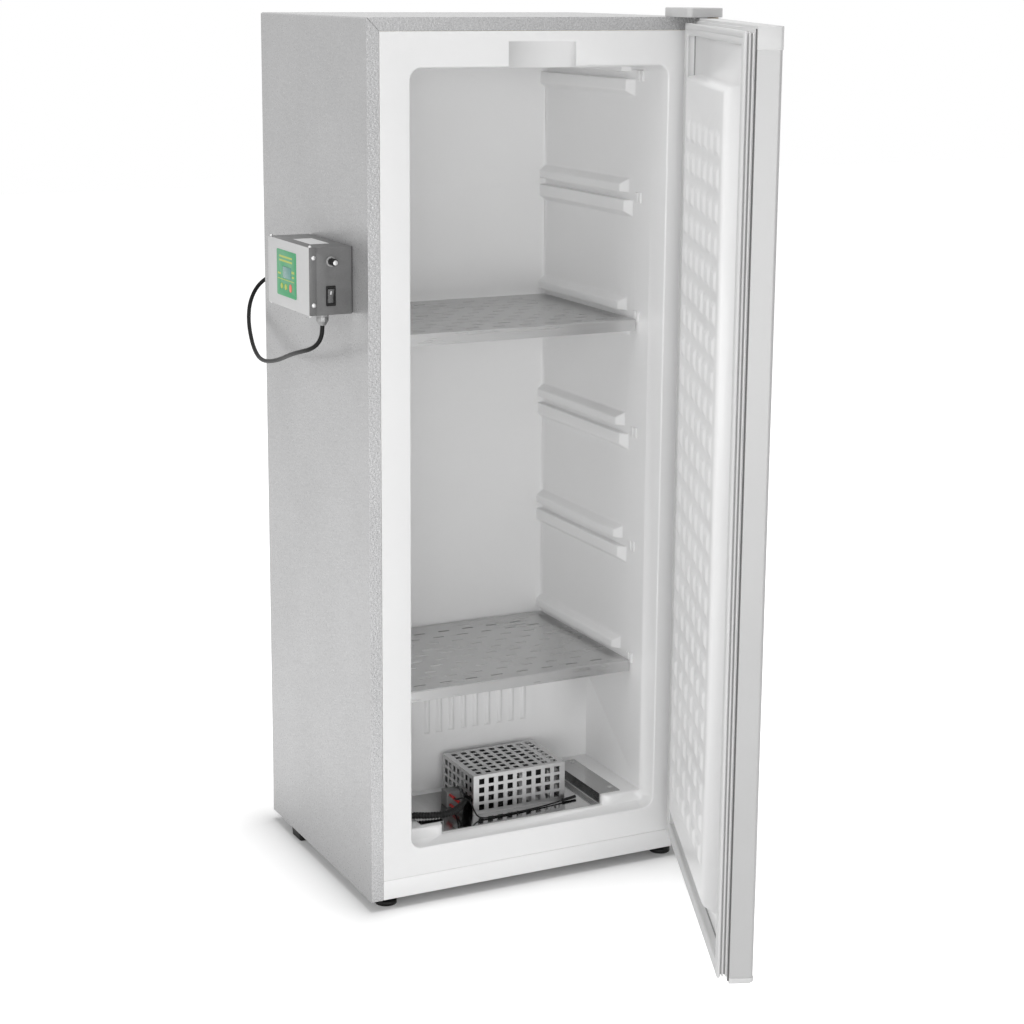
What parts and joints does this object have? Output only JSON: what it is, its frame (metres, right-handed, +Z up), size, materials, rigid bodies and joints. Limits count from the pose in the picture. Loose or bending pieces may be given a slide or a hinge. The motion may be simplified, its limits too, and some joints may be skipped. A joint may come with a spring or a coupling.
{
  "type": "honey warming cabinet",
  "caption": "Upright insulated warming cabinet with a hinged door shown open, ribbed white liner, perforated shelves, a caged fan heater on the floor and a side control box.",
  "frame": {"origin": "on the floor under the middle of the cabinet body, door and lead left out of that middle", "axes": "+X to the right seen from the front, +Y from the front to the back, +Z up"},
  "size_m": [0.6755, 1.1116, 1.458],
  "materials": {
    "silver_paint": "silver hammertone paint",
    "zinc_sheet": "plain zinc-coated sheet",
    "bright_steel": "plain machined steel",
    "white_plastic": "white vacuum-formed sheet, satin",
    "foam": "rigid foam, hidden",
    "stainless": "bright stainless sheet",
    "polished_steel": "mirror-polished sheet",
    "aluminium": "extruded, blackened",
    "black_plastic": "moulded, matt",
    "light_plastic": "light grey moulded, matt",
    "grey_plastic": "mid grey moulded",
    "box_paint": "grey paint, satin",
    "plate_paint": "light grey paint, satin",
    "seal": "soft light grey seal",
    "red_sleeve": "insulating sleeve",
    "wire_cover": "flexible insulation",
    "green_film": "printed film",
    "display": "clear window over a dim display",
    "yellow_key": "key",
    "red_key": "key",
    "board": "glass-fibre board",
    "brass": "turned brass"
  },
  "bodies": {
    "cabinet": {"outer_wrapper": "silver_paint", "back_panel": "zinc_sheet", "base_pan": "zinc_sheet", "upper_hinge_plate": "zinc_sheet", "lower_hinge_bracket": "zinc_sheet", "lead_clip": "zinc_sheet", "element_brackets": "zinc_sheet", "upper_hinge_pin": "bright_steel", "lower_hinge_pin": "bright_steel", "inner_liner": "white_plastic", "plinth": "white_plastic", "shelf_stops": "white_plastic", "hinge_cover": "white_plastic", "insulation_foam": "foam", "heater_cage": "stainless", "heater_tray": "polished_steel", "heating_element": "aluminium", "fan_frame": "black_plastic", "terminal_strip": "black_plastic", "thermal_cutout": "black_plastic", "wiring_conduit": "black_plastic", "fuse_holder": "black_plastic", "switch_housing": "black_plastic", "sensor_probe": "black_plastic", "mains_plug": "black_plastic", "rear_feet": "black_plastic", "conduit_bush": "light_plastic", "cable_gland": "grey_plastic", "gland_nut": "grey_plastic", "control_box": "box_paint", "control_plate": "plate_paint", "crimp_terminals": "red_sleeve", "heater_wires": "wire_cover", "sensor_lead": "wire_cover", "lead_loop": "wire_cover", "lead_drop": "wire_cover", "keypad_overlay": "green_film", "display_window": "display", "circuit_board": "board"},
    "door": {"door_skin": "silver_paint", "door_foam": "foam", "door_liner": "white_plastic", "door_gasket": "seal", "door_top_cap": "white_plastic", "door_bottom_cap": "white_plastic", "door_bushes": "brass"},
    "upper_shelf": {"upper_shelf": "stainless"},
    "lower_shelf": {"lower_shelf": "stainless"},
    "fan_rotor": {"fan_rotor": "black_plastic"},
    "switch_rocker": {"switch_rocker": "black_plastic"},
    "fuse_cap": {"fuse_cap": "black_plastic"},
    "key_up": {"key_up": "yellow_key"},
    "key_down": {"key_down": "yellow_key"},
    "key_power": {"key_power": "red_key"},
    "foot_left": {"foot_left": "black_plastic"},
    "foot_right": {"foot_right": "black_plastic"}
  },
  "joints": [
    {"name": "door_hinge", "type": "hinge", "parent": "cabinet", "child": "door", "pos_m": [0.287, -0.2666, 0.745], "axis": [0, 0, 1], "range_deg": [-67, 48]},
    {"name": "upper_shelf_slide", "type": "slide", "parent": "cabinet", "child": "upper_shelf", "axis": [0, -1, 0], "range_m": [0, 0.15]},
    {"name": "lower_shelf_slide", "type": "slide", "parent": "cabinet", "child": "lower_shelf", "axis": [0, -1, 0], "range_m": [0, 0.15]},
    {"name": "fan_spin", "type": "hinge", "parent": "cabinet", "child": "fan_rotor", "pos_m": [-0.036, -0.0755, 0.1292], "axis": [1, 0, 0], "continuous": true},
    {"name": "switch_rock", "type": "hinge", "parent": "cabinet", "child": "switch_rocker", "pos_m": [-0.3375, -0.167, 1.015], "axis": [1, 0, 0], "range_deg": [-18, 0]},
    {"name": "fuse_cap_turn", "type": "hinge", "parent": "cabinet", "child": "fuse_cap", "pos_m": [-0.337, -0.18, 1.069], "axis": [0, -1, 0], "range_deg": [0, 90]},
    {"name": "key_up_press", "type": "slide", "parent": "cabinet", "child": "key_up", "axis": [1, 0, 0], "range_m": [0, 0.0005], "stiffness_N_per_m": 300},
    {"name": "key_down_press", "type": "slide", "parent": "cabinet", "child": "key_down", "axis": [1, 0, 0], "range_m": [0, 0.0005], "stiffness_N_per_m": 300},
    {"name": "key_power_press", "type": "slide", "parent": "cabinet", "child": "key_power", "axis": [1, 0, 0], "range_m": [0, 0.0005], "stiffness_N_per_m": 300},
    {"name": "foot_left_turn", "type": "hinge", "parent": "cabinet", "child": "foot_left", "pos_m": [-0.262, -0.2, 0], "axis": [0, 0, 1], "continuous": true},
    {"name": "foot_right_turn", "type": "hinge", "parent": "cabinet", "child": "foot_right", "pos_m": [0.262, -0.2, 0], "axis": [0, 0, 1], "continuous": true}
  ]
}
